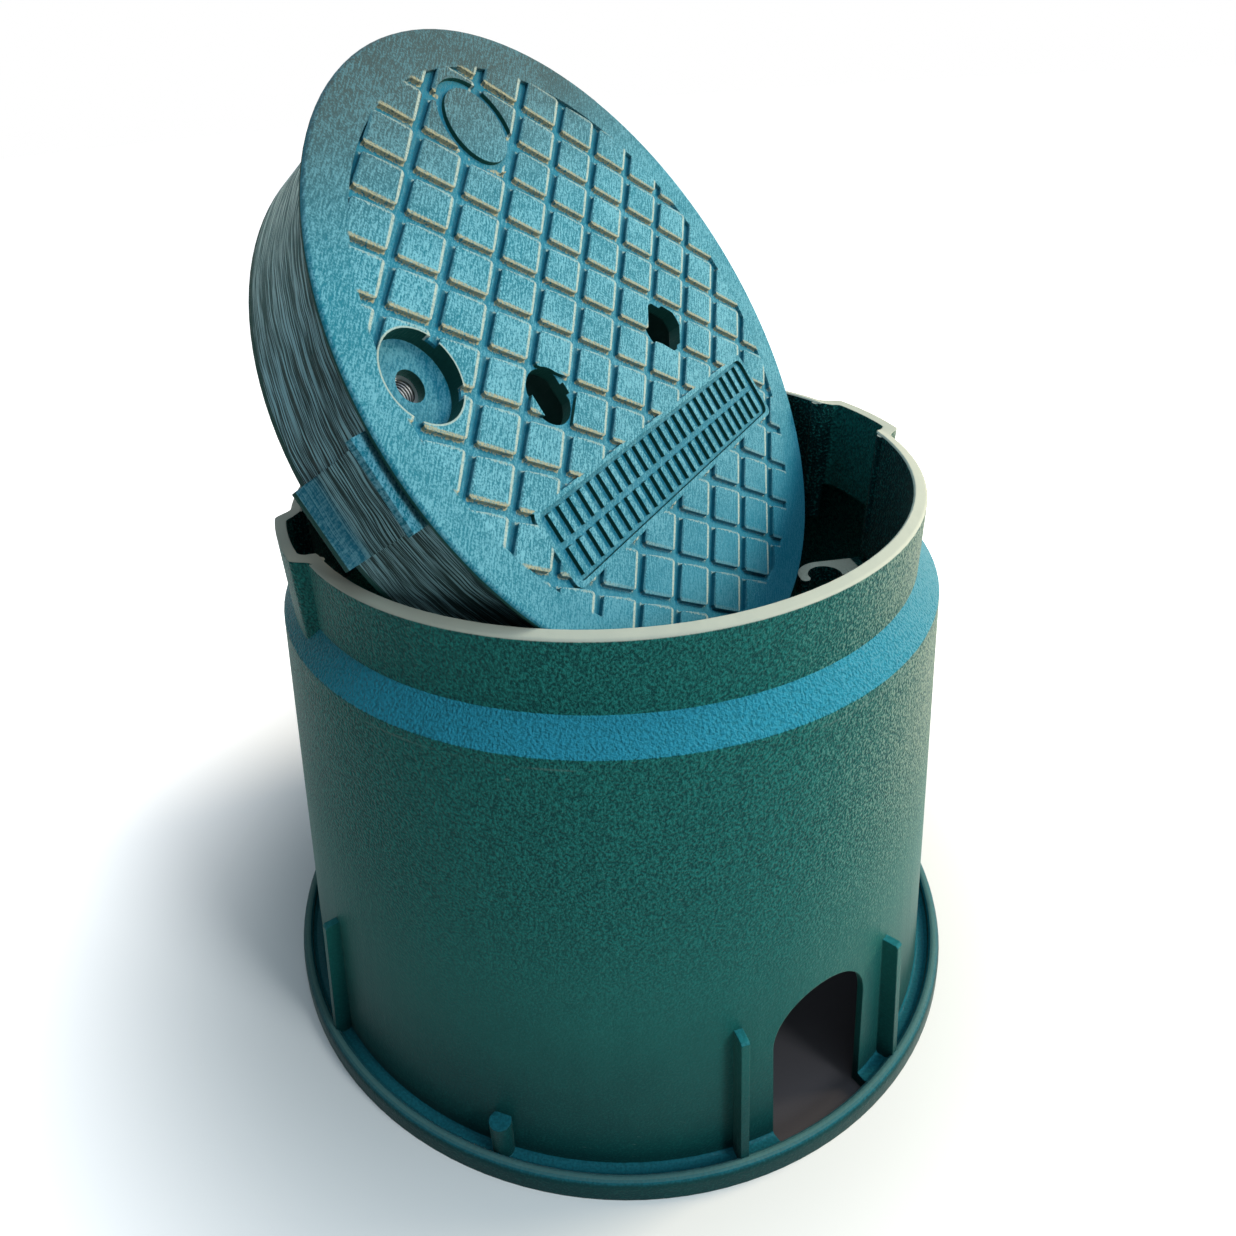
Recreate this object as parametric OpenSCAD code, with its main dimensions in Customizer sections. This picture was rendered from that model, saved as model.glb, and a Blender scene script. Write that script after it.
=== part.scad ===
// Round irrigation valve box with its lid leaning in the mouth.
// The origin is the centre of the footprint, on the ground, with +Z up.

/* [Box] */
// Height of the box from the ground to the rim
box_h = 260; // [230:1:320]
// Radius of the mouth, inside the rim
mouth_r = 127.5; // [122:0.5:135]
// Thickness of the collar wall at the rim
rim_wall = 5.3; // [4:0.1:7]
// Height of the collar above the shoulder
collar_h = 31.4; // [24:0.1:40]
// How much wider the collar is at its foot than at the rim
collar_draft = 0.9; // [0:0.1:2]
// Height of the sloping shoulder
shoulder_h = 10.6; // [7:0.1:15]
// How far the shoulder steps out
shoulder_step = 9.9; // [6:0.1:14]
// Outer radius of the wall where it meets the flange
wall_foot_r = 165.9; // [155:0.1:175]
// Thickness of the wall
wall_t = 3.2; // [2.5:0.1:5]
// Height of the inner sleeve below the shoulder, which guides the lid
sleeve_drop = 28.6; // [15:0.1:45]
// Thickness of the inner sleeve
sleeve_t = 3.6; // [3:0.1:5]

/* [Flange] */
// Outer radius of the flange on the ground
flange_r = 178; // [170:0.5:195]
// Height of the channel floor, between the wall and the rolled lip
flange_t = 6.5; // [4:0.1:9]
// Height of the rolled lip
lip_h = 11.2; // [9:0.1:16]
// Radius of the roll on top of the lip
lip_roll_r = 2.6; // [1.5:0.1:3.5]

/* [Pipe openings] */
// Direction of the first pipe opening, in degrees
slot_turn = -56.6; // [-80:0.1:-30]
// Number of pipe openings
slot_n = 2; // [1:1:2]
// Width of a pipe opening
slot_w = 51.7; // [40:0.1:62]
// Height of a pipe opening above the ground
slot_top = 86.7; // [70:0.1:110]

/* [Gussets] */
// Angle between a pipe opening and the gussets beside it
gusset_side = 15.2; // [13:0.1:20]
// Angle between a pipe opening and the gusset a quarter turn away
gusset_mid = -87.4; // [-95:0.1:-70]
// Height of the gussets above the ground
gusset_top = 81; // [60:1:100]
// Thickness of a gusset
gusset_t = 3.8; // [3:0.1:5]
// How far a gusset stands out from the wall
gusset_out = 7; // [5:0.1:9]

/* [Gate stub] */
// Direction of the moulding gate stub
stub_turn = -107.8; // [-125:0.1:-95]
// Radius of the stub
stub_r = 5; // [3.5:0.1:6]
// Height of the stub above the ground
stub_top = 29; // [18:1:40]

/* [Keyways] */
// Direction of the first keyway
key_turn = 22.7; // [15:0.1:35]
// Width of a keyway at the mouth
keyway_w = 45; // [38:0.5:50]
// Depth of a keyway behind the mouth
keyway_d = 6.5; // [5:0.1:8]
// Thickness of the wall behind a keyway
keyway_wall = 4.6; // [3.5:0.1:6]
// Length of the S curve in which the wall swells out to a keyway
keyway_blend = 8; // [5:0.1:10]
// Radius of the rounded nub at each edge of a keyway
keyway_nub_r = 2.7; // [2:0.1:3]

/* [Lock bolt and hook] */
// Angle from a keyway to the lock bolt
bolt_lag = -12.6; // [-16:0.1:-8]
// How far inside the mouth the lock bolt stands
bolt_inset = 23.9; // [23:0.1:30]
// Angle from a keyway to the hook that catches the lock bolt
hook_lag = -14.2; // [-17:0.1:-10]
// How far the hook's eye is centred outside the bolt
hook_ahead = 3.4; // [0:0.1:6]
// Outer radius of the hook
hook_r = 12.5; // [11:0.1:14]
// Width of the hook's wall
hook_w = 4.6; // [3.5:0.1:6]
// Height of the hook
hook_h = 8; // [5:0.1:12]

/* [Lid] */
// Outer radius of the lid's plate
lid_r = 134; // [130:0.5:140]
// Thickness of the lid's plate
plate_t = 6; // [5:0.1:8]
// Radius of the rounded edge of the plate
plate_edge_r = 1.8; // [1:0.1:2.3]
// Play between the skirt and the mouth
skirt_play = 1.5; // [1:0.1:4]
// Depth of the lid from its face to the foot of the skirt
lid_depth = 53; // [40:0.5:60]
// Thickness of the skirt
skirt_t = 4.4; // [3.5:0.1:6]
// Width of a key on the skirt
key_w = 31.6; // [26:0.1:36]
// How far a key stands out at the foot of the skirt
key_out = 4; // [2.5:0.1:5]
// Height of the sloping part of a key
key_h = 15; // [12:0.5:30]
// How far the tab above a key stands out from the skirt
tab_out = 11; // [9:0.1:12]
// Thickness of that tab
tab_t = 3; // [2:0.1:4]

/* [Tread] */
// Width of one lozenge of the tread with its groove
tread_w = 33.4; // [28:0.1:40]
// Height of one lozenge of the tread with its groove
tread_h = 25.5; // [20:0.1:30]
// Width of a groove
groove_w = 3.6; // [2.5:0.1:5]
// Depth of the grooves
groove_d = 1.7; // [1:0.1:2.5]
// Radius that the grooves reach
tread_r = 118; // [110:0.5:122]
// Height of the middle of the tread on the face
tread_rise = -4; // [-8:0.1:8]

/* [Face] */
// Half the length of the panel with the two rows of grip bars
panel_half = 91; // [80:0.5:95]
// Height of the middle of the panel on the face
panel_rise = -48.5; // [-60:0.1:-40]
// Height of the panel
panel_h = 27.5; // [22:0.1:32]
// Number of grip bars in a row
bar_n = 24; // [12:1:28]
// Radius of the plain round pad
pad_r = 15; // [10:0.1:17]
// Height of the pad's middle on the face
pad_rise = 95; // [88:0.5:97]
// Distance between the two lifting holes
lift_gap = 94.5; // [85:0.1:105]
// Width of a lifting hole
lift_w = 19.6; // [16:0.1:22]
// Length of a lifting hole
lift_h = 22; // [18:0.1:26]

/* [Bolt pocket] */
// Radius of the round pocket for the lock bolt's head
pocket_r = 16.5; // [13:0.1:18]
// Depth of that pocket
pocket_d = 7; // [5:0.1:9]
// Radius of the bolt hole
bolt_hole_r = 5.8; // [4.5:0.1:6.5]
// Outer radius of the boss under the pocket
boss_r = 12.5; // [11.5:0.1:15]
// Thickness of the pocket's floor above the nut
boss_floor = 4; // [3:0.1:6]
// Width across the flats of the steel nut
nut_flats = 17; // [15:0.1:18]
// Height of the steel nut
nut_h = 9; // [6:0.1:12]
// Radius of the hole through the nut
nut_hole_r = 4.2; // [3:0.1:5]
// Play between the nut and its pocket
nut_play = 0.15; // [0.1:0.05:0.4]

/* [Leaning lid] */
// Slope of the lid's face from the level
lean = 55.25; // [50:0.25:60]
// Direction of the level line on the lid's face
lean_turn = 61.12; // [55:0.01:67]
// Place of the middle of the lid's face along X
lean_x = 5.5; // [3:0.1:8]
// Place of the middle of the lid's face along Y
lean_y = -5.8; // [-8:0.1:-3]
// Height of the middle of the lid's face above the rim
lean_rise = 53.3; // [50:0.1:70]

/* [Hidden] */
$fn = 96;
over = 1;
box_colour = [0.09, 0.29, 0.26];
lid_colour = [0.20, 0.46, 0.50];
steel_colour = [0.72, 0.73, 0.75];

rim_r = mouth_r + rim_wall;
collar_foot_r = rim_r + collar_draft;
collar_foot_z = box_h - collar_h;
shoulder_r = collar_foot_r + shoulder_step;
shoulder_z = collar_foot_z - shoulder_h;
sleeve_z = collar_foot_z - sleeve_drop;
nub_foot_z = sleeve_z + 12;
bolt_r = mouth_r - bolt_inset;
hook_top = sleeve_z - 5;
hook_gap = 2;
lip_crest_r = flange_r - 3.7;
rim_round = 1.4;

skirt_r = mouth_r - skirt_play;
nut_top = -pocket_d - boss_floor;
key_rise = 0.5;
tab_w = key_w + 2;
cell_round = 3.2;
cell_nick = 0.8;
panel_round = 4;
pad_field = 4;
border_ring = 2;
rib_t = 3;
rib_h = 12.5;
rib_ring_r = 72;
lift_rib_h = 18;

// The point at a radius and an angle
function polar(r, a) = [r * cos(a), r * sin(a)];

// Points of an arc about a centre, from one angle to another
function arc(c, r, a0, a1, n = 6) = [for (i = [0:n]) c + polar(r, a0 + (a1 - a0) * i / n)];

// Outer radius of the tapering wall at a height
function wall_r(z) = wall_foot_r + (shoulder_r - wall_foot_r) * (z - flange_t) / (shoulder_z - flange_t);

// Copies its children to both ends of a diameter
module twice() {
    for (a = [0, 180]) rotate([0, 0, a]) children();
}

// The turned section of wall, shoulder, collar, inner sleeve and flange
module shell() {
    rotate_extrude()
        polygon(concat(
            [[wall_r(0) - wall_t, 0], [flange_r, 0], [flange_r - 0.6, lip_h - lip_roll_r - 1.2]],
            arc([lip_crest_r, lip_h - lip_roll_r], lip_roll_r, 20, 180),
            [[lip_crest_r - lip_roll_r, flange_t + 1.5], [lip_crest_r - lip_roll_r - 1.5, flange_t]],
            [[wall_foot_r + 1, flange_t], [wall_r(flange_t + 1), flange_t + 1]],
            arc([shoulder_r - 1.5, shoulder_z - 0.5], 1.5, 5, 45, 3),
            [[collar_foot_r + 0.8, collar_foot_z], [collar_foot_r, collar_foot_z + 1]],
            arc([rim_r - rim_round, box_h - rim_round - 0.8], rim_round, 0, 78, 4),
            [[mouth_r + 0.6, box_h], [mouth_r, box_h - 0.6]],
            [[mouth_r, sleeve_z], [mouth_r + sleeve_t, sleeve_z]],
            [[mouth_r + sleeve_t, shoulder_z + 3], [shoulder_r - wall_t, shoulder_z - wall_t]]
        ));
}

// Plan of a keyway, which swells out from a radius to its back in an S curve at each side
module keyway_plan(half, start_r, back_r) {
    edge = asin(half / start_r);
    turn = asin(keyway_blend / start_r);
    side = [for (k = [0:8]) polar(start_r + (back_r - start_r) * (1 - cos(180 * k / 8)) / 2,
                                  edge - turn * k / 8)];
    polygon(concat(
        [polar(start_r - 8, edge)],
        side,
        arc([0, 0], back_r, (edge - turn) * 0.8, (turn - edge) * 0.8),
        [for (k = [8:-1:0]) [side[k][0], -side[k][1]]],
        [polar(start_r - 8, -edge)]
    ));
}

// The collar bulges outwards round each keyway
module keyway_bulges() {
    rotate([0, 0, key_turn]) twice()
        translate([0, 0, shoulder_z])
            linear_extrude(box_h - shoulder_z - 0.8)
                difference() {
                    keyway_plan(keyway_w / 2 + keyway_wall, rim_r - 0.6, mouth_r + keyway_d + keyway_wall);
                    circle(r = mouth_r + 1);
                }
}

module keyway_cuts() {
    rotate([0, 0, key_turn]) twice()
        translate([0, 0, sleeve_z - over])
            linear_extrude(box_h - sleeve_z + 2 * over)
                difference() {
                    keyway_plan(keyway_w / 2, mouth_r - 0.3, mouth_r + keyway_d);
                    circle(r = mouth_r - 4);
                }
}

// Rounded nubs at the two edges of each keyway
module keyway_nubs() {
    nub_turn = asin((keyway_w / 2 + keyway_nub_r - 0.3) / mouth_r);
    rotate([0, 0, key_turn]) twice()
        for (side = [-1, 1])
            rotate([0, 0, side * nub_turn])
                translate([mouth_r + keyway_nub_r - 1.2, 0, nub_foot_z])
                    cylinder(r = keyway_nub_r, h = box_h - nub_foot_z - 0.8);
}

// Plan of a hook whose eye is open towards one side, on an arm that reaches the wall
module hook_plan(reach) {
    difference() {
        union() {
            circle(r = hook_r);
            translate([0, -hook_gap]) square([reach, hook_r + hook_gap]);
        }
        circle(r = hook_r - hook_w);
        translate([-hook_r - 1, -2 * hook_r]) square([3 * hook_r, 2 * hook_r - hook_gap]);
    }
    translate([hook_w / 2 - hook_r, -hook_gap]) circle(d = hook_w);
}

// The hooks reach in under the lid and catch the lock bolt
module bolt_hooks() {
    eye_r = bolt_r + hook_ahead;
    rotate([0, 0, key_turn + hook_lag]) twice()
        translate([eye_r, 0, hook_top - hook_h])
            linear_extrude(hook_h)
                hook_plan(wall_r(hook_top) - wall_t / 2 - eye_r);
}

// Arched openings for pipes, cut through the wall and down through the flange as far as its lip
module pipe_openings() {
    intersection() {
        translate([0, 0, -over]) cylinder(r = lip_crest_r - lip_roll_r - 0.6, h = slot_top + 2 * over);
        for (i = [0:slot_n - 1])
            rotate([0, 0, slot_turn + 180 * i])
                translate([wall_r(slot_top) - 15, 0, 0])
                    rotate([90, 0, 90])
                        linear_extrude(wall_foot_r - wall_r(slot_top) + 25) {
                            translate([-slot_w / 2, -2 * over])
                                square([slot_w, slot_top - slot_w / 2 + 2 * over]);
                            translate([0, slot_top - slot_w / 2]) circle(d = slot_w);
                        }
    }
}

// One upright gusset between the wall and the rolled lip
module gusset() {
    rotate([90, 0, 0]) translate([0, 0, -gusset_t / 2])
        linear_extrude(gusset_t)
            polygon([[wall_r(flange_t - 1) - 2, flange_t - 1],
                     [lip_crest_r, flange_t - 1],
                     [lip_crest_r - 1, lip_h - 0.4],
                     [wall_r(gusset_top) + gusset_out, gusset_top - 1],
                     [wall_r(gusset_top) + gusset_out - 1, gusset_top],
                     [wall_r(gusset_top) - 2, gusset_top]]);
}

module gussets() {
    rotate([0, 0, slot_turn]) twice()
        for (a = [-gusset_side, gusset_side, gusset_mid]) rotate([0, 0, a]) gusset();
}

// The stub that the moulding gate left, broken off aslant
module gate_stub() {
    rotate([0, 0, stub_turn])
        translate([wall_r(stub_top) + 3.4, 0, 0])
            difference() {
                union() {
                    translate([0, 0, flange_t - 1]) cylinder(r = stub_r, h = stub_top - flange_t);
                    translate([-5, 0.8 - stub_r, flange_t - 1])
                        cube([5, 2 * stub_r - 1.6, stub_top - flange_t - 3]);
                }
                translate([0, 0, stub_top - 0.6]) rotate([12, -9, 0])
                    translate([-10, -10, 0.6]) cube([20, 20, 5]);
            }
}

module box_body() {
    color(box_colour)
        difference() {
            union() {
                shell();
                keyway_bulges();
                gussets();
                gate_stub();
                keyway_nubs();
            }
            keyway_cuts();
            pipe_openings();
        }
    color(box_colour) bolt_hooks();
}

// A lozenge with its side and top corners rounded off
module cell(w, h) {
    polygon(concat(
        arc([w / 2 - cell_round, 0], cell_round * 0.79, -50, 50, 4),
        arc([0, h / 2 - cell_round], cell_round * 0.61, 40, 140, 4),
        [[-w / 2 + cell_nick, cell_nick], [-w / 2 + cell_nick, -cell_nick]],
        [[-cell_nick, -h / 2 + cell_nick], [cell_nick, -h / 2 + cell_nick]]
    ));
}

// The raised lozenges in rows, each second row set half a step aside
module cells() {
    skew = sqrt(tread_w * tread_w + tread_h * tread_h);
    cell_w = tread_w - groove_w * skew / tread_h;
    cell_h = tread_h - groove_w * skew / tread_w;
    rows = ceil(tread_r / tread_h) + 1;
    cols = ceil(tread_r / tread_w) + 1;
    for (j = [-2 * rows:2 * rows], i = [-cols:cols])
        let (x = (i + (j % 2 == 0 ? 0.5 : 0)) * tread_w, y = tread_rise + j * tread_h / 2)
            if (norm([x, y]) < tread_r + tread_w / 2)
                translate([x, y]) cell(cell_w, cell_h);
}

module rounded_plate(w, h, r) {
    square([w, h - 2 * r], center = true);
    square([w - 2 * r, h], center = true);
    for (x = [-1, 1], y = [-1, 1])
        translate([x * (w / 2 - r), y * (h / 2 - r)]) circle(r = r);
}

// Plan of everything that is sunk by one groove's depth
module grooves_plan() {
    difference() {
        circle(r = tread_r);
        cells();
        translate([0, panel_rise])
            rounded_plate(2 * panel_half + 2 * border_ring, panel_h + 2 * border_ring, panel_round);
        translate([0, pad_rise]) circle(r = pad_r + pad_field);
    }
    difference() {
        translate([0, panel_rise]) rounded_plate(2 * panel_half, panel_h, panel_round);
        grip_bars();
    }
    translate([0, pad_rise])
        difference() {
            circle(r = pad_r + pad_field);
            circle(r = pad_r);
        }
}

// Two rows of plain grip bars
module grip_bars() {
    row_h = panel_h / 2 - 3;
    step = (2 * panel_half - 6) / bar_n;
    for (i = [0:bar_n - 1], j = [-1, 1])
        translate([-panel_half + 3 + (i + 0.5) * step, panel_rise + j * (panel_h / 4 - 0.2)])
            square([step * 0.42, row_h], center = true);
}

module pocket_place() {
    rotate([0, 0, 180 + bolt_lag]) translate([bolt_r, 0]) children();
}

// The left lifting hole is round with flat sides, the right one a lozenge with its corners off
module lift_places() {
    translate([-lift_gap / 2 - 1, tread_rise + 0.5])
        intersection() {
            circle(r = lift_h / 2);
            square([lift_w, lift_h], center = true);
        }
    translate([lift_gap / 2 - 1, tread_rise])
        intersection() {
            polygon([[lift_w * 0.78, 0], [0, lift_h * 0.62], [-lift_w * 0.78, 0], [0, -lift_h * 0.62]]);
            circle(r = lift_w * 0.62);
            square([lift_w * 1.3, lift_h], center = true);
        }
}

// Plate and skirt, turned
module lid_shell() {
    rotate_extrude()
        polygon(concat(
            [[0, -plate_t], [0, 0]],
            arc([lid_r - plate_edge_r, -plate_edge_r], plate_edge_r, 90, -60),
            [[skirt_r + 1, -plate_t], [skirt_r, -plate_t - 1], [skirt_r, -lid_depth]],
            [[skirt_r - skirt_t + 1, -lid_depth], [skirt_r - skirt_t, -plate_t]]
        ));
}

// A key: a flat band up the skirt with a wedge at its foot, and a tab under the plate
module key() {
    inside = skirt_r * cos(asin(tab_w / 2 / skirt_r)) - 1;
    rotate([90, 0, 0]) translate([0, 0, -key_w / 2])
        linear_extrude(key_w)
            polygon([[inside, -lid_depth], [skirt_r + key_out, -lid_depth],
                     [skirt_r + key_out, -lid_depth + 2.5], [skirt_r + key_rise, -lid_depth + key_h],
                     [skirt_r + key_rise, -plate_t - 1], [inside, -plate_t - 1]]);
    translate([inside, -tab_w / 2, -plate_t + 0.5 - tab_t])
        cube([skirt_r + tab_out - inside, tab_w, tab_t]);
}

// Ribs under the plate: a ring, a grid of four, and a deep short one beside each lifting hole
module ribs() {
    translate([0, 0, -plate_t - rib_h])
        linear_extrude(rib_h + 0.5)
            difference() {
                union() {
                    difference() {
                        circle(r = rib_ring_r + rib_t / 2);
                        circle(r = rib_ring_r - rib_t / 2);
                    }
                    for (y = [-26, 26]) translate([0, y]) square([2 * skirt_r, rib_t], center = true);
                    for (x = [-24, 24]) translate([x, 0]) square([rib_t, 2 * skirt_r], center = true);
                }
                difference() {
                    circle(r = skirt_r + lid_r);
                    circle(r = skirt_r - skirt_t / 2);
                }
                pocket_place() circle(r = boss_r);
            }
    for (x = [rib_t - (lift_gap - lift_w) / 2, (lift_gap - 1.3 * lift_w) / 2 - 1.5 * rib_t])
        translate([x - rib_t / 2, tread_rise - lift_h / 2 - rib_t, -plate_t - lift_rib_h])
            cube([rib_t, lift_h + 2 * rib_t, lift_rib_h + 0.5]);
}

// The lock bolt's pocket, its hole and the boss that holds the nut
module bolt_boss() {
    pocket_place()
        translate([0, 0, nut_top]) {
            cylinder(r = pocket_r + boss_floor, h = -nut_top - 1);
            translate([0, 0, -nut_h]) cylinder(r = boss_r, h = nut_h + 1);
        }
}

module bolt_cuts() {
    pocket_place() {
        translate([0, 0, -pocket_d]) cylinder(r = pocket_r, h = pocket_d + over);
        translate([0, 0, nut_top - over]) cylinder(r = bolt_hole_r, h = boss_floor + 2 * over);
        translate([0, 0, nut_top - nut_h - over]) nut_form(nut_flats + 2 * nut_play, nut_h + over);
    }
}

module nut_form(flats, h) {
    cylinder(d = flats / cos(30), h = h, $fn = 6);
}

// Puts the lid's own frame, whose face is at zero, where it leans
module leaning() {
    translate([lean_x, lean_y, box_h + lean_rise])
        rotate([lean, 0, lean_turn])
            children();
}

module lid() {
    color(lid_colour)
        leaning()
            difference() {
                union() {
                    lid_shell();
                    twice() key();
                    ribs();
                    bolt_boss();
                }
                translate([0, 0, -groove_d]) linear_extrude(groove_d + over) grooves_plan();
                translate([0, 0, -plate_t - over]) linear_extrude(plate_t + 2 * over) lift_places();
                bolt_cuts();
            }
}

module lock_nut() {
    color(steel_colour)
        leaning()
            pocket_place()
                translate([0, 0, nut_top - nut_h])
                    difference() {
                        nut_form(nut_flats, nut_h);
                        translate([0, 0, -over]) cylinder(r = nut_hole_r, h = nut_h + 2 * over);
                    }
}

box_body();
lid();
lock_nut();
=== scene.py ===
"""Round irrigation valve box: the finishes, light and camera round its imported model."""
import math

import bmesh
import bpy
from mathutils import Euler, Matrix, Vector


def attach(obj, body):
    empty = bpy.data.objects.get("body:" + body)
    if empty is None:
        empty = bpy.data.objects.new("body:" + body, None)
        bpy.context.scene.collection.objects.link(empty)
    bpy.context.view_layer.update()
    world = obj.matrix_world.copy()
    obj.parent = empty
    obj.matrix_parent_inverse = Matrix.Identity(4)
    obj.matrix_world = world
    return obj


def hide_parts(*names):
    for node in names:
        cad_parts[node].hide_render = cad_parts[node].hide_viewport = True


bl_info = {
    "name": "Valve box finishes",
    "version": (1, 0, 0),
    "blender": (4, 5, 0),
    "location": "3D View > Sidebar > Valve Box",
    "description": "Finishes, light and camera for a round irrigation valve box",
    "category": "Object",
}

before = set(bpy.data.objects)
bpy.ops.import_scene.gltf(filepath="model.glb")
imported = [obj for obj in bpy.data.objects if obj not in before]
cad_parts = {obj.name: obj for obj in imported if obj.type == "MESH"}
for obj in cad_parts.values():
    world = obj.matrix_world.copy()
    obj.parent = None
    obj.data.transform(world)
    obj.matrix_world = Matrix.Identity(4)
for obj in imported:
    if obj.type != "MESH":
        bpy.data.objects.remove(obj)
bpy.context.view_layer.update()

MM = 0.001
BODY = "root"

# The place of the leaning lid: the middle of its face and its turn, as the solids have them
LID_CENTRE = Vector((5.5, -5.8, 313.3)) * MM
LID_TURN = (math.radians(55.25), 0.0, math.radians(61.12))

# Places on the lid in its own frame, as the solids have them
BOLT_PLACE = (-0.1011, 0.0226)
LIFT_PLACE, LIFT_R = (0.0473, -0.0038), (0.0120, 0.0135)
LOZENGE, LOZENGE_RISE = (0.0334, 0.0255), -0.004
TREAD_R = (0.1175, 0.1190)
PANEL_X, PANEL_Y = 0.0930, (-0.0638, -0.0332)
PAD_Y, PAD_R = 0.095, 0.0169
POCKET_FLOOR_Z, POCKET_RING_R = (-0.0074, -0.0066), (0.0160, 0.0170)
LID_DEPTH = 0.0530
SKIRT_R, FLARE_X = (0.1235, 0.1242), (0.1266, 0.1280)
TAB_R, TAB_Z = (0.1272, 0.1282), (-0.0090, -0.0053)

# Heights and radii on the box, as the solids have them
RIM_Z = 0.2560
COLLAR_R = 0.1320
LINE_Z = 0.2140
PEBBLES_Z = (0.07, 0.17)
LIP_R, LIP_Z = 0.167, (0.0105, 0.0125)
HOOK_TOP, HOOK_R = 0.1950, 0.1245

# The nut's bore and its thread
BORE_R = (0.0043, 0.0046)
THREAD_PITCH = 0.00125

# Edges of the mesh sharper than this stay sharp
SHARP = math.radians(24)

# The camera's shift and the directions of its picture's right and upper sides
SHIFT = (0.0728, 0.0302)
PICTURE_RIGHT = Vector((0.99630902, 0.05037522, -0.06950301))
PICTURE_UP = Vector((0.02922064, 0.56229679, 0.82641906))

# The floor: blackish ground inside the flange, partly the earth's colour and partly painted shade,
# then a glow that hides the floor's far part
GROUND_R, GLOW_R, FLOOR_R = (0.1710, 0.1730), (0.17, 0.42), 6.0


def length(name, text, default, low=0.0, high=1.0):
    """A length in metres for a property group."""
    return bpy.props.FloatProperty(
        name=name, description=text, default=default, min=low, max=high,
        unit="LENGTH", subtype="DISTANCE", precision=5)


def colour(name, text, default):
    """A linear colour for a property group."""
    return bpy.props.FloatVectorProperty(
        name=name, description=text, default=default, size=3, min=0.0, max=1.0, subtype="COLOR")


class BoxFinish(bpy.types.PropertyGroup):
    """The finish of the box's moulding."""
    green: colour("Green", "Plain colour of the moulding", (0.010, 0.108, 0.095))
    deep: colour("Deep green", "Colour towards the foot and inside", (0.003, 0.038, 0.040))
    painted_sky_reflection: colour(
        "Painted_sky_reflection", "Colour of the bluish bloom on faces that look up", (0.022, 0.245, 0.345))
    rim: colour("Rim", "Colour of the sunlit rim", (0.460, 0.480, 0.400))
    scrape_and_highlight: colour("Scrapes_and_highlight", "Colour of specks and scuffs", (0.110, 0.200, 0.175))
    painted_sun_glare: colour("Painted_sun_glare", "Colour of the dust on the grain of the sunny side", (0.250, 0.285, 0.210))
    grain: length("Grain", "Size of one pebble of the grain", 0.0011)
    edge: length("Edge", "Width of the rounded edges", 0.0009)


class LidFinish(bpy.types.PropertyGroup):
    """The finish of the lid's moulding."""
    teal: colour("Teal", "Plain colour of the tread", (0.009, 0.140, 0.195))
    pale_wear_and_light: colour("Pale_wear_and_light", "Colour where the tread is rubbed", (0.125, 0.350, 0.430))
    groove: colour("Groove", "Colour in the grooves", (0.009, 0.145, 0.220))
    grime_and_bounce: colour("Grime_and_bounce", "Colour of the soil on the grooves' lower sides", (0.300, 0.285, 0.175))
    highlight_and_wear: colour("Highlight_and_wear edge", "Colour of the worn edges of the tread", (0.360, 0.430, 0.370))
    green: colour("Green", "Colour of the walls, the edge and the underside", (0.008, 0.052, 0.044))
    skirt: colour("Skirt", "Plain colour of the skirt", (0.016, 0.040, 0.038))
    streak: colour("Streaks", "Colour of the streaks round the skirt", (0.330, 0.600, 0.650))
    edge: length("Edge", "Width of the rounded edges", 0.0006)


class StageSettings(bpy.types.PropertyGroup):
    """The camera, the lamps and the floor."""
    lens: bpy.props.FloatProperty(
        name="Lens", description="Focal length in millimetres", default=27.384, min=10.0, max=120.0)
    place: bpy.props.FloatVectorProperty(
        name="Camera place", description="Where the camera stands", size=3,
        default=(0.0, -0.3821, 0.4228), unit="LENGTH", subtype="TRANSLATION")
    floor: colour("Floor", "Colour of the floor", (0.80, 0.80, 0.79))
    earth_and_shade: colour("Ground inside", "Colour of the ground inside the box", (0.050, 0.045, 0.050))
    sky: bpy.props.FloatProperty(
        name="Sky", description="Power of the bluish lamp overhead in watts", default=10.0, min=0.0)
    sun: bpy.props.FloatProperty(
        name="Sun", description="Power of the warm lamp at the right in watts",
        default=16.0, min=0.0)
    fill: bpy.props.FloatProperty(
        name="Fill", description="Power of the lamp at the front right in watts",
        default=9.0, min=0.0)
    dusk: bpy.props.FloatProperty(
        name="World", description="Strength of the dim bluish sky all round",
        default=0.14, min=0.0)


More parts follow.
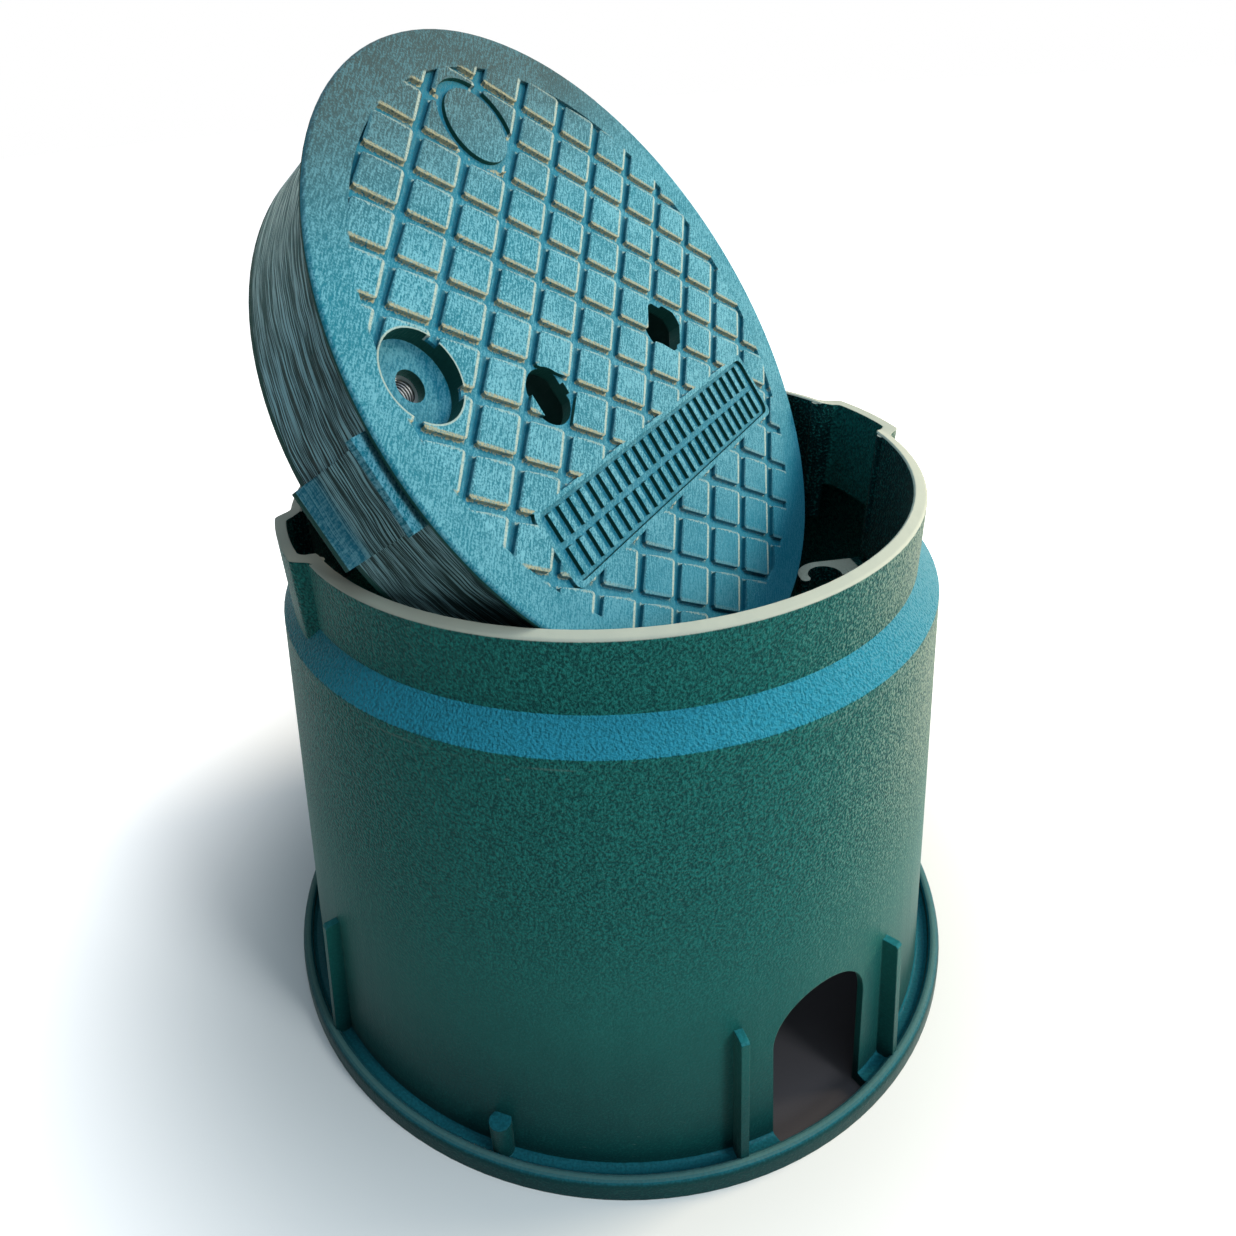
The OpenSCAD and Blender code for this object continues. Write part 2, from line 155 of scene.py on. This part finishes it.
class Shader:
    """Builds one material's nodes with short calls."""

    def __init__(self, name):
        self.material = bpy.data.materials.new(name)
        self.material.use_nodes = True
        self.tree = self.material.node_tree
        self.bsdf = self.tree.nodes["Principled BSDF"]
        self.object = self.add("ShaderNodeTexCoord").outputs["Object"]
        self.normal = self.add("ShaderNodeNewGeometry").outputs["Normal"]

    def add(self, kind, **settings):
        node = self.tree.nodes.new(kind)
        for key, value in settings.items():
            setattr(node, key, value)
        return node

    def link(self, value, socket):
        if isinstance(value, bpy.types.NodeSocket):
            self.tree.links.new(value, socket)
        elif value is not None:
            socket.default_value = value

    def math(self, operation, a, b=None, c=None):
        node = self.add("ShaderNodeMath", operation=operation)
        for value, socket in zip((a, b, c), node.inputs):
            self.link(value, socket)
        return node.outputs[0]

    def times(self, first, *others):
        for other in others:
            first = self.math("MULTIPLY", first, other)
        return first

    def plus(self, a, b):
        return self.math("ADD", a, b)

    def minus(self, a, b):
        return self.math("SUBTRACT", a, b)

    def flip(self, share):
        """One where the share is nothing, and nothing where it is one."""
        return self.minus(1.0, share)

    def ramp(self, value, low, high, start=0.0, end=1.0):
        """A smooth step from start, where the value is low, to end, where it is high."""
        node = self.add("ShaderNodeMapRange", interpolation_type="SMOOTHSTEP")
        if low > high:
            low, high, start, end = high, low, end, start
        for number, socket in zip((value, low, high, start, end), node.inputs):
            self.link(number, socket)
        return node.outputs[0]

    def band(self, value, low, high, soft):
        """One between low and high, nothing outside."""
        return self.times(self.ramp(value, low - soft, low), self.ramp(value, high + soft, high))

    def split(self, vector):
        node = self.add("ShaderNodeSeparateXYZ")
        self.link(vector, node.inputs[0])
        return node.outputs

    def join(self, x, y, z):
        node = self.add("ShaderNodeCombineXYZ")
        for value, socket in zip((x, y, z), node.inputs):
            self.link(value, socket)
        return node.outputs[0]

    def facing(self, direction):
        """How far the surface faces a direction, from -1 to 1."""
        node = self.add("ShaderNodeVectorMath", operation="DOT_PRODUCT")
        self.link(self.normal, node.inputs[0])
        self.link(tuple(direction), node.inputs[1])
        return node.outputs["Value"]

    def stretch(self, vector, sizes):
        """Coordinates counted in sizes, so that a pattern on them is stretched."""
        node = self.add("ShaderNodeVectorMath", operation="MULTIPLY")
        self.link(vector, node.inputs[0])
        self.link(tuple(1.0 / size for size in sizes), node.inputs[1])
        return node.outputs[0]

    def noise(self, vector, size, detail=3.0, rough=0.5, warp=0.0):
        node = self.add("ShaderNodeTexNoise")
        self.link(vector, node.inputs["Vector"])
        self.link(1.0 / size, node.inputs["Scale"])
        self.link(detail, node.inputs["Detail"])
        self.link(rough, node.inputs["Roughness"])
        self.link(warp, node.inputs["Distortion"])
        return node.outputs["Fac"]

    def mix(self, share, a, b):
        """Colour a, and colour b where the share is 1."""
        node = self.add("ShaderNodeMix", data_type="RGBA")
        self.link(share, node.inputs["Factor"])
        for value, socket in ((a, node.inputs[6]), (b, node.inputs[7])):
            if not isinstance(value, bpy.types.NodeSocket):
                value = (*value, 1.0)
            self.link(value, socket)
        return node.outputs[2]

    def bump(self, height, distance, strength=1.0, normal=None):
        node = self.add("ShaderNodeBump")
        self.link(strength, node.inputs["Strength"])
        self.link(distance, node.inputs["Distance"])
        self.link(height, node.inputs["Height"])
        if normal is not None:
            self.link(normal, node.inputs["Normal"])
        return node.outputs["Normal"]

    def soften(self, width):
        """Normals that look as if the edges were rounded by a width."""
        node = self.add("ShaderNodeBevel", samples=6)
        self.link(width, node.inputs["Radius"])
        return node.outputs["Normal"]

    def placed(self, centre, turn):
        """Object coordinates in a piece's own frame."""
        node = self.add("ShaderNodeMapping", vector_type="TEXTURE")
        self.link(self.object, node.inputs["Vector"])
        self.link(tuple(centre), node.inputs["Location"])
        self.link(tuple(turn), node.inputs["Rotation"])
        return node.outputs[0]

    def radius(self, x, y):
        return self.math("SQRT", self.plus(self.times(x, x), self.times(y, y)))

    def set(self, **inputs):
        for name, value in inputs.items():
            self.link(value, self.bsdf.inputs[name.replace("_", " ")])


def shade(tone, factor):
    """A colour made darker or lighter."""
    return tuple(factor * part for part in tone)


def box_plastic(look):
    """Dark green structural foam, pebbled above and smoother towards the foot."""
    s = Shader("box_plastic")
    x, y, z = s.split(s.object)
    reach = s.radius(x, y)
    round_side = s.math("DIVIDE", x, reach)
    facing_up = s.facing((0, 0, 1))
    inside = s.ramp(reach, COLLAR_R + 0.0005, COLLAR_R - 0.0005)

    # Pebbles, the fine mist on them, and the long soft waves of the moulding
    broad = s.noise(s.object, 0.08, 3.0, 0.6)
    grain = s.noise(s.object, look.grain, 1.0, 0.5, 0.3)
    mist = s.noise(s.object, 0.0004, 1.0, 0.5)
    flow = s.noise(s.stretch(s.object, (0.011, 0.011, 0.25)), 1.0, 2.0, 0.5)
    pebbled = s.ramp(z, *PEBBLES_Z, 0.15, 1.0)

    # The green, darker towards the foot, with painted shade inside the box, painted highlights on
    # the grain's crests and painted shade in its pits
    paint = s.mix(s.ramp(s.plus(z, s.times(broad, 0.08)), 0.16, 0.03), look.green, look.deep)
    paint = s.mix(inside, paint, shade(look.deep, 0.5))
    crests = s.times(s.ramp(grain, 0.50, 0.68, 0.0, 0.55), pebbled)
    paint = s.mix(crests, paint, shade(look.green, 2.0))
    pits = s.times(s.ramp(grain, 0.50, 0.36, 0.0, 0.65), pebbled)
    paint = s.mix(pits, paint, look.deep)

    # Painted sky reflection: a bluish colour on the faces that look up, outside and below the rim,
    # weaker towards the left
    up = s.ramp(s.plus(facing_up, s.times(s.minus(grain, 0.5), 0.35, pebbled)), 0.30, 0.55)
    painted_sky_reflection = s.times(
        up, s.ramp(z, 0.250, 0.240), s.ramp(reach, COLLAR_R + 0.0005, COLLAR_R + 0.0015),
        s.ramp(round_side, -0.95, -0.55, 0.40, 1.0), s.ramp(z, 0.10, 0.15, 0.30, 1.0),
        s.ramp(grain, 0.30, 0.60, 0.65, 1.0))
    paint = s.mix(painted_sky_reflection, paint, look.painted_sky_reflection)

    # Painted sun glare: beige on the grain of the sunny side, on faces that look right
    sunny = s.times(s.ramp(round_side, 0.45, 1.0), s.ramp(z, 0.06, 0.20),
                    s.ramp(s.facing((1, 0, 0)), 0.0, 0.4))
    sun_glare_share = s.times(s.ramp(s.plus(grain, s.times(sunny, 0.20)), 0.54, 0.74),
                    s.math("SQRT", sunny), 0.65)
    bare = s.ramp(painted_sky_reflection, 1.0, 0.0, 0.3, 1.0)
    paint = s.mix(s.times(sun_glare_share, s.flip(inside), bare), paint, look.painted_sun_glare)

    # A painted highlight along the top of the flange's lip, and a thin line under the shoulder
    painted_lip_highlight = s.times(s.ramp(facing_up, 0.75, 0.97), s.band(z, *LIP_Z, 0.0004),
                    s.ramp(reach, LIP_R - 0.001, LIP_R + 0.001), 0.55)
    paint = s.mix(painted_lip_highlight, paint, look.scrape_and_highlight)
    line = s.times(s.band(z, LINE_Z - 0.0002, LINE_Z + 0.0002, 0.0004),
                   s.ramp(s.noise(s.object, 0.03), 0.45, 0.62), 0.4)
    paint = s.mix(line, paint, look.scrape_and_highlight)

    # Painted sun glare: pale tops of the hooks and the rim
    hook = s.times(s.ramp(facing_up, 0.5, 0.8), s.ramp(reach, HOOK_R + 0.0005, HOOK_R - 0.0005),
                   s.ramp(z, HOOK_TOP - 0.0015, HOOK_TOP - 0.0005))
    paint = s.mix(hook, paint, look.rim)
    rim = s.times(s.ramp(facing_up, 0.10, 0.45), s.ramp(z, RIM_Z - 0.001, RIM_Z + 0.001))
    paint = s.mix(rim, paint, look.rim)

    # A few scuffs in patches
    marks = s.noise(s.stretch(s.object, (0.006, 0.006, 0.0016)), 1.0, 2.0, 0.6)
    where = s.ramp(s.noise(s.object, 0.05, 1.0, 0.5), 0.58, 0.66)
    paint = s.mix(s.times(s.ramp(marks, 0.70, 0.78, 0.0, 0.6), where), paint, look.scrape_and_highlight)

    s.set(Base_Color=paint, Roughness=s.ramp(z, 0.03, 0.16, 0.34, 0.50),
          Specular_IOR_Level=0.05, Sheen_Weight=0.06, Sheen_Roughness=0.3,
          Sheen_Tint=(1.0, 0.86, 0.62, 1.0))
    hill = s.times(grain, pebbled, s.flip(rim))
    waves = s.bump(flow, 0.0008, 0.5, s.soften(look.edge))
    s.set(Normal=s.bump(hill, 0.0011, 1.0, s.bump(mist, 0.00006, 0.7, waves)))
    return s.material


def lid_plastic(look):
    """Teal structural foam, pale in patches of wear on the tread and streaked round the skirt, with
    painted light and shade on the tread and the keys.
    """
    s = Shader("lid_plastic")
    out = Euler(LID_TURN).to_matrix().col[2]
    local = s.placed(LID_CENTRE, LID_TURN)
    x, y, z = s.split(local)
    reach = s.radius(x, y)
    faces_out = s.facing(out)
    tread = s.ramp(reach, TREAD_R[1], TREAD_R[0])
    panel = s.times(s.ramp(s.math("ABSOLUTE", x), PANEL_X + 0.0005, PANEL_X - 0.0005),
                    s.band(y, *PANEL_Y, 0.0003))
    pad = s.ramp(s.radius(x, s.minus(y, PAD_Y)), PAD_R + 0.0003, PAD_R - 0.0003)
    plain = s.math("MAXIMUM", panel, pad)

    # How far across its lozenge a point is, in the directions of the two rows of grooves
    wide = s.math("DIVIDE", x, LOZENGE[0])
    high = s.math("DIVIDE", s.minus(y, LOZENGE_RISE), LOZENGE[1])
    across = s.math("FRACT", s.plus(wide, high))
    down = s.math("FRACT", s.minus(wide, high))
    nearest = s.math("MINIMUM", s.math("PINGPONG", across, 0.5), s.math("PINGPONG", down, 0.5))
    lift = s.radius(s.minus(s.math("ABSOLUTE", x), LIFT_PLACE[0]), s.minus(y, LIFT_PLACE[1]))
    lozenges = s.times(tread, s.flip(plain), s.ramp(lift, *LIFT_R))
    grooved = s.times(s.ramp(nearest, 0.135, 0.115), lozenges)
    # The tread's colour goes on faces that look out and in the grooves; its teal is partly the
    # lid's colour and partly painted sky reflection, and the other walls and edges stay green
    top = s.times(s.math("MAXIMUM", s.ramp(faces_out, 0.2, 0.55), grooved),
                  s.ramp(z, -0.0032, -0.0026))

    # Fuzz and short fibres on every face, broad patches of rubbing on the tread
    fuzz = s.noise(local, 0.0009, 2.0, 0.6)
    lean = s.join(s.plus(s.times(x, 0.8), s.times(y, 0.6)),
                  s.minus(s.times(y, 0.8), s.times(x, 0.6)), z)
    fibre = s.noise(s.stretch(lean, (0.0042, 0.0007, 0.0042)), 1.0, 2.0, 0.5)
    patch = s.noise(local, 0.03, 3.0, 0.6)
    hair = s.plus(s.times(fuzz, 0.5), s.times(fibre, 0.5))
    level = s.plus(hair, s.times(s.minus(patch, 0.5), 0.25))
    shine = s.times(s.ramp(level, 0.41, 0.61), s.ramp(reach, *TREAD_R, 1.0, 0.8))
    face = s.mix(shine, look.teal, look.pale_wear_and_light)
    # Painted shade: the face's lower part turns towards the groove's colour
    face = s.mix(s.times(s.ramp(y, -0.035, -0.100), 0.70), face, look.groove)
    # Painted grazing sunlight: the face greyer towards its upper end
    grazing_grey = s.times(s.ramp(y, 0.050, 0.120), s.ramp(level, 0.42, 0.62, 0.85, 0.60))
    face = s.mix(grazing_grey, face, shade(look.highlight_and_wear, 0.12))
    below = s.times(s.ramp(z, -0.0006, -0.0014), s.ramp(hair, 0.4, 0.65, 0.95, 0.45))
    face = s.mix(below, face, look.groove)

    # Tan on each lozenge's lower side, partly grime and partly painted warm light from the ground;
    # painted highlights at its right and top edges; painted shadow on its left side
    jitter = s.times(s.minus(fuzz, 0.5), 0.14)
    across_rough, down_rough = s.plus(across, jitter), s.plus(down, jitter)
    within_a, within_d = s.band(across, 0.11, 0.89, 0.015), s.band(down, 0.11, 0.90, 0.015)
    # Painted shadow on each lozenge's left side
    groove_shadow = s.times(s.band(down_rough, 0.06, 0.12, 0.05), within_a, 0.7)
    face = s.mix(s.times(groove_shadow, lozenges), face, shade(look.groove, 0.5))
    paint = s.mix(top, look.green, face)
    # Painted highlights on each lozenge's right and top edges
    highlight_right = s.times(s.band(down, 0.875, 0.900, 0.025), within_a,
                         s.ramp(fuzz, 0.3, 0.6, 0.45, 0.95))
    highlight_top = s.times(s.band(across_rough, 0.880, 0.900, 0.015), within_d, 0.45)
    highlight_and_wear = s.math("MAXIMUM", highlight_right, highlight_top)
    paint = s.mix(s.times(highlight_and_wear, lozenges, top), paint, look.highlight_and_wear)
    # Tan on the lower sides: partly grime and partly painted warm light bounced from the ground
    grime_and_bounce_share = s.times(s.band(across_rough, 0.080, 0.150, 0.020), within_d, lozenges,
                     s.ramp(fuzz, 0.35, 0.6, 0.3, 1.0))
    paint = s.mix(s.times(grime_and_bounce_share, top, s.ramp(y, -0.080, -0.040, 0.15, 1.0)), paint, look.grime_and_bounce)

    # Skirt with long wavy streaks, paler at its upper end
    wave = s.times(s.minus(s.noise(local, 0.035, 2.0, 0.5), 0.5), 0.007)
    ringed = s.join(x, y, s.plus(z, wave))
    streak = s.noise(s.stretch(ringed, (0.030, 0.030, 0.0006)), 1.0, 3.0, 0.6)
    lit = s.ramp(s.plus(y, s.times(patch, 0.12)), -0.06, 0.12, 0.35, 1.0)
    side = s.mix(s.ramp(y, 0.02, 0.11), look.skirt, shade(look.skirt, 3.5))
    pale = s.mix(s.ramp(y, 0.04, 0.12), look.streak, shade(look.highlight_and_wear, 1.8))
    side = s.mix(s.times(s.ramp(streak, 0.46, 0.60), lit), side, pale)

    # Painted sky light on the keys' flares, the green foot of the skirt, and the tabs above the
    # keys in the tread's bright colours
    flare = s.times(s.ramp(s.math("ABSOLUTE", x), *FLARE_X), s.ramp(z, -0.030, -0.040),
                    s.ramp(faces_out, -0.8, -0.5))
    fibres = s.plus(s.times(hair, 0.6), s.times(streak, 0.4))
    side = s.mix(flare, side, s.mix(s.ramp(fibres, 0.42, 0.60), look.groove, look.pale_wear_and_light))
    side = s.mix(s.ramp(z, 0.0025 - LID_DEPTH, 0.0022 - LID_DEPTH), side, look.green)
    outside = s.times(s.ramp(reach, *SKIRT_R), s.ramp(z, -0.0070, -0.0078))
    tab = s.times(s.ramp(reach, *TAB_R), s.band(z, *TAB_Z, 0.0001))
    bright = s.mix(s.ramp(hair, 0.40, 0.60), look.teal, look.pale_wear_and_light)
    paint = s.mix(tab, s.mix(outside, paint, side), bright)

    # The bolt pocket's floor with pale patches of wear, and a pale ring of wear
    bolt = s.radius(s.minus(x, BOLT_PLACE[0]), s.minus(y, BOLT_PLACE[1]))
    floor = s.times(s.ramp(faces_out, 0.6, 0.9), s.band(z, *POCKET_FLOOR_Z, 0.0002))
    sunk = s.mix(s.ramp(level, 0.40, 0.62, 0.0, 0.45), shade(look.groove, 0.8), look.pale_wear_and_light)
    paint = s.mix(floor, paint, sunk)
    ring = s.times(s.band(bolt, *POCKET_RING_R, 0.0003), top, s.ramp(z, -0.0009, -0.0003), 0.7)
    paint = s.mix(ring, paint, look.highlight_and_wear)

    s.set(Base_Color=paint, Roughness=s.ramp(hair, 0.3, 0.7, 0.42, 0.60),
          Specular_IOR_Level=0.06)
    lines = s.bump(s.times(streak, outside), 0.0005, 1.0, s.soften(look.edge))
    s.set(Normal=s.bump(hair, 0.0004, 1.0, lines))
    return s.material


def nut_steel():
    """Zinc plated steel with a thread in its bore."""
    s = Shader("nut_steel")
    local = s.placed(LID_CENTRE, LID_TURN)
    x, y, z = s.split(local)
    x, y = s.minus(x, BOLT_PLACE[0]), s.minus(y, BOLT_PLACE[1])
    reach = s.radius(x, y)
    turns = s.math("DIVIDE", s.math("ARCTAN2", y, x), math.tau)
    thread = s.math("PINGPONG", s.plus(s.math("DIVIDE", z, THREAD_PITCH), turns), 0.5)
    bore = s.ramp(reach, BORE_R[1], BORE_R[0])
    turned = s.noise(s.stretch(s.join(reach, 0.0, 0.0), (0.0003, 1.0, 1.0)), 1.0, 1.0)
    steel = s.mix(s.ramp(turned, 0.35, 0.65), (0.70, 0.74, 0.78), (0.90, 0.92, 0.94))
    # Painted shade in the bore: nearly black in the grooves of the thread
    steel = s.mix(s.times(bore, s.ramp(thread, 0.34, 0.22)), steel, (0.03, 0.035, 0.04))
    s.set(Base_Color=steel, Metallic=1.0, Roughness=0.3)
    s.set(Normal=s.bump(s.times(thread, bore), 0.0006, 1.0))
    return s.material


def moulded_copy(node, name):
    """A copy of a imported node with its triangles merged, smooth except at its edges."""
    bm = bmesh.new()
    bm.from_mesh(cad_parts[node].data)
    bmesh.ops.remove_doubles(bm, verts=bm.verts, dist=0.000002)
    for face in bm.faces:
        face.smooth = True
    for edge in bm.edges:
        edge.smooth = edge.calc_face_angle(math.pi) < SHARP
    mesh = bpy.data.meshes.new(name)
    bm.to_mesh(mesh)
    bm.free()
    piece = bpy.data.objects.new(name, mesh)
    bpy.context.scene.collection.objects.link(piece)
    flats = piece.modifiers.new("Flat faces stay flat", "WEIGHTED_NORMAL")
    flats.keep_sharp = True
    return piece


def dress(piece, material, node):
    """Gives a piece its material and its body, and hides the imported solid it stands for."""
    piece.data.materials.clear()
    piece.data.materials.append(material)
    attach(piece, BODY)
    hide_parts(node)


class VALVEBOX_OT_box(bpy.types.Operator):
    """Makes the box's moulding with its softened edges and pebbled finish"""
    bl_idname = "valvebox.box"
    bl_label = "Box"

    def execute(self, context):
        look = context.scene.valve_box
        piece = moulded_copy("box_body", "box_moulding")
        dress(piece, box_plastic(look), "box_body")
        return {"FINISHED"}


class VALVEBOX_OT_lid(bpy.types.Operator):
    """Makes the lid's moulding with its softened tread and rubbed finish"""
    bl_idname = "valvebox.lid"
    bl_label = "Lid"

    def execute(self, context):
        look = context.scene.valve_lid
        piece = moulded_copy("lid", "lid_moulding")
        dress(piece, lid_plastic(look), "lid")
        return {"FINISHED"}


class VALVEBOX_OT_nut(bpy.types.Operator):
    """Gives the steel nut its plated finish"""
    bl_idname = "valvebox.nut"
    bl_label = "Lock nut"

    def execute(self, context):
        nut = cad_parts["lock_nut"]
        nut.data.materials.clear()
        nut.data.materials.append(nut_steel())
        return {"FINISHED"}


def area_light(name, place, aim, size, power, tint):
    """A soft round lamp that looks at a point."""
    lamp = bpy.data.lights.new(name, "AREA")
    lamp.shape, lamp.size, lamp.energy, lamp.color = "DISK", size, power, tint
    thing = bpy.data.objects.new(name, lamp)
    thing.location = place
    thing.rotation_euler = (Vector(aim) - Vector(place)).to_track_quat("-Z", "Y").to_euler()
    bpy.context.scene.collection.objects.link(thing)


def background_rays(tree):
    """One for a ray that should meet the white background."""
    path = tree.nodes.new("ShaderNodeLightPath")
    total = path.outputs["Is Camera Ray"]
    for name in ("Is Glossy Ray", "Is Transmission Ray"):
        either = tree.nodes.new("ShaderNodeMath")
        either.operation = "MAXIMUM"
        tree.links.new(total, either.inputs[0])
        tree.links.new(path.outputs[name], either.inputs[1])
        total = either.outputs[0]
    return total


class VALVEBOX_OT_stage(bpy.types.Operator):
    """Makes the floor, the lamps, the world and the camera"""
    bl_idname = "valvebox.stage"
    bl_label = "Stage"

    def execute(self, context):
        scene, stage = context.scene, context.scene.valve_stage
        scene.view_settings.view_transform = "Standard"
        self.camera(scene, stage)
        self.floor(scene, stage)
        self.world(scene, stage)
        middle = (0.0, 0.0, 0.2)
        area_light("sky", (0.25, -0.15, 1.5), middle, 1.2, stage.sky, (0.70, 0.88, 1.0))
        area_light("sun", (1.1, 0.35, 0.75), middle, 0.5, stage.sun, (1.0, 0.84, 0.62))
        area_light("fill", (0.9, -0.8, 0.8), middle, 0.4, stage.fill, (0.92, 0.98, 1.0))
        return {"FINISHED"}

    def camera(self, scene, stage):
        data = bpy.data.cameras.new("camera")
        data.lens, data.sensor_width = stage.lens, 36.0
        data.shift_x, data.shift_y = SHIFT
        camera = bpy.data.objects.new("camera", data)
        back = PICTURE_RIGHT.cross(PICTURE_UP)
        turn = Matrix((PICTURE_RIGHT, PICTURE_UP, back)).transposed()
        camera.rotation_euler = turn.to_euler()
        camera.location = stage.place
        scene.collection.objects.link(camera)
        scene.camera = camera

    def floor(self, scene, stage):
        bm = bmesh.new()
        bmesh.ops.create_circle(bm, cap_ends=True, segments=96, radius=FLOOR_R)
        mesh = bpy.data.meshes.new("floor")
        bm.to_mesh(mesh)
        bm.free()
        floor = bpy.data.objects.new("floor", mesh)
        scene.collection.objects.link(floor)
        s = Shader("floor")
        x, y, _ = s.split(s.object)
        reach = s.radius(x, y)
        glow = s.times(background_rays(s.tree), s.ramp(reach, *GLOW_R))
        # Blackish ground inside the flange: partly the earth's colour and partly painted shade
        ground = s.mix(s.ramp(reach, *GROUND_R), stage.earth_and_shade, stage.floor)
        s.set(Base_Color=ground, Roughness=0.9, Emission_Color=(1.0, 1.0, 1.0, 1.0),
              Emission_Strength=glow)
        floor.data.materials.append(s.material)

    def world(self, scene, stage):
        """A dim bluish sky that looks white to the camera and in reflections."""
        world = bpy.data.worlds.new("studio")
        world.use_nodes = True
        tree = world.node_tree
        dim = tree.nodes["Background"]
        dim.inputs["Color"].default_value = (0.72, 0.86, 1.0, 1.0)
        dim.inputs["Strength"].default_value = stage.dusk
        white = tree.nodes.new("ShaderNodeBackground")
        choice = tree.nodes.new("ShaderNodeMixShader")
        tree.links.new(background_rays(tree), choice.inputs[0])
        tree.links.new(dim.outputs[0], choice.inputs[1])
        tree.links.new(white.outputs[0], choice.inputs[2])
        white.inputs["Color"].default_value = (1.0, 1.0, 1.0, 1.0)
        tree.links.new(choice.outputs[0], tree.nodes["World Output"].inputs["Surface"])
        scene.world = world


class VALVEBOX_PT_panel(bpy.types.Panel):
    """Lists the valve box's pieces"""
    bl_idname = "VALVEBOX_PT_panel"
    bl_label = "Valve box"
    bl_space_type = "VIEW_3D"
    bl_region_type = "UI"
    bl_category = "Valve Box"

    def draw(self, context):
        for piece in PIECES:
            self.layout.operator(piece.bl_idname)


GROUPS = {"valve_box": BoxFinish, "valve_lid": LidFinish, "valve_stage": StageSettings}
PIECES = (VALVEBOX_OT_stage, VALVEBOX_OT_box, VALVEBOX_OT_lid, VALVEBOX_OT_nut)


def register():
    for item in (*GROUPS.values(), *PIECES, VALVEBOX_PT_panel):
        bpy.utils.register_class(item)
    for name, group in GROUPS.items():
        setattr(bpy.types.Scene, name, bpy.props.PointerProperty(type=group))


def unregister():
    for name in GROUPS:
        delattr(bpy.types.Scene, name)
    for item in (VALVEBOX_PT_panel, *PIECES, *GROUPS.values()):
        bpy.utils.unregister_class(item)


def main():
    register()
    bpy.ops.valvebox.stage()
    bpy.ops.valvebox.box()
    bpy.ops.valvebox.lid()
    bpy.ops.valvebox.nut()


if __name__ == "__main__":
    main()
